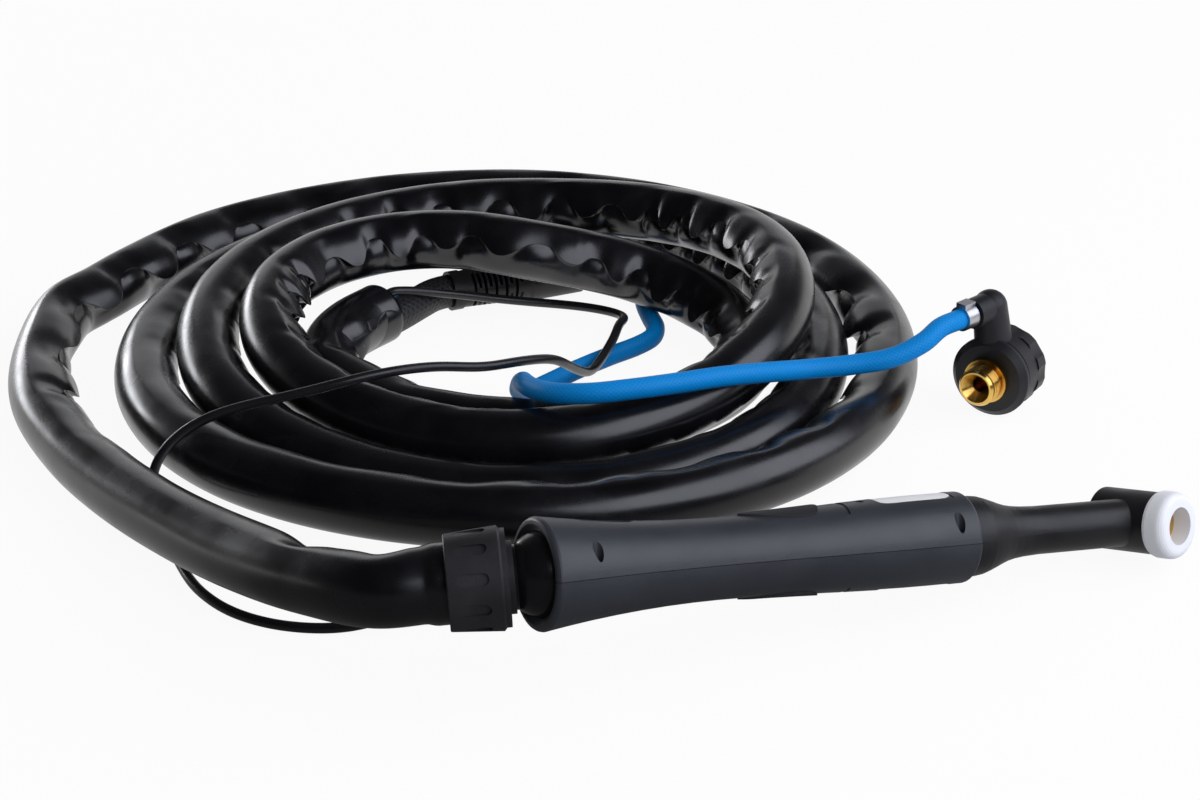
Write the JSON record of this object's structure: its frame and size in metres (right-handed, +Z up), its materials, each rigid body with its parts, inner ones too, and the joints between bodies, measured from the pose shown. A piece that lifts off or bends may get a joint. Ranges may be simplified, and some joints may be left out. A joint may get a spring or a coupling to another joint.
{
  "type": "welding torch",
  "caption": "Gas tungsten arc welding torch with a ball-jointed two-shell handle, angled head, push button and sheathed cables that end in plugs and a threaded gas nipple.",
  "frame": {"origin": "on the floor under the middle of the torch body, measured without its cables", "axes": "+X from the ball joint to the head, +Z up"},
  "size_m": [0.4065, 0.4746, 0.0694],
  "materials": {
    "shell": "fine matt moulding, dark blue-grey",
    "grip_rubber": "soft matt rubber",
    "screw_steel": "bright screw",
    "button": "matt",
    "carrier": "plain moulding",
    "switch_black": "plain moulding",
    "plunger": "plain moulding",
    "brass": "machined",
    "copper": "drawn copper tube",
    "cable_black": "fine ribbed black jacket",
    "head_rubber": "satin black rubber",
    "gasket_white": "white PTFE",
    "ball_gloss": "glossy black",
    "nut_black": "matt black",
    "race": "dry moulding",
    "sheath": "soft black vinyl with a satin shine",
    "relief_black": "satin black",
    "hose_blue": "bright blue hose with a fine weave",
    "clamp_steel": "bright steel",
    "fitting_black": "satin black"
  },
  "bodies": {
    "handle": {"handle_right": "shell", "handle_left": "shell", "grip_inset_right": "grip_rubber", "grip_inset_left": "grip_rubber", "screw_rear": "screw_steel", "screw_front": "screw_steel", "switch_carrier": "carrier", "micro_switch": "switch_black", "power_union": "brass", "inner_power_cable": "cable_black", "inner_control_lead": "cable_black", "head_insulator": "head_rubber", "head_core": "brass", "neck_tube": "copper", "cup_gasket": "gasket_white"},
    "trigger": {"trigger_button": "button"},
    "plunger": {"switch_plunger": "plunger"},
    "ball": {"ball": "ball_gloss", "collar_ring": "nut_black"},
    "race": {"ball_race": "race"},
    "hose_end": {"swivel_disc": "nut_black", "clamp_nut": "nut_black", "sheath_lead": "sheath", "sheath_coil": "sheath", "sheath_tail": "sheath", "power_cable": "cable_black", "power_collar": "relief_black", "power_relief": "relief_black", "power_plug": "relief_black", "power_pin": "brass", "gas_hose": "hose_blue", "ear_clamp": "clamp_steel", "elbow": "fitting_black", "control_cable": "cable_black", "control_plug": "relief_black"},
    "gas_wheel": {"gas_wheel": "fitting_black", "gas_stud": "brass"}
  },
  "joints": [
    {"name": "hose_swivel", "type": "hinge", "parent": "hose_end", "child": "ball", "pos_m": [-0.1125, -0.0035, 0.04897], "axis": [0.9372, -0.3435, 0.061], "range_deg": [-90, 90]},
    {"name": "handle_tilt", "type": "hinge", "parent": "ball", "child": "race", "pos_m": [-0.1125, -0.0035, 0.04897], "axis": [0.1191, 0.4794, 0.8695], "range_deg": [-50, 4]},
    {"name": "handle_swivel", "type": "hinge", "parent": "race", "child": "handle", "pos_m": [-0.1125, -0.0035, 0.04897], "axis": [0.9907, 0, -0.1357], "range_deg": [-90, 90]},
    {"name": "trigger_press", "type": "slide", "parent": "handle", "child": "trigger", "axis": [0.0397, -0.9563, 0.2897], "range_m": [0, 0.0015], "stiffness_N_per_m": 1500, "springref_m": -0.001},
    {"name": "plunger_press", "type": "slide", "parent": "handle", "child": "plunger", "axis": [0.0397, -0.9563, 0.2897], "range_m": [0, 0.0015]},
    {"name": "gas_wheel_turn", "type": "hinge", "parent": "hose_end", "child": "gas_wheel", "pos_m": [0.1506, 0.1287, 0.0174], "axis": [-0.8406, -0.5417, 0], "continuous": true}
  ],
  "couplings": [
    {"joint": "plunger_press", "follows": "trigger_press", "ratio": 1}
  ]
}
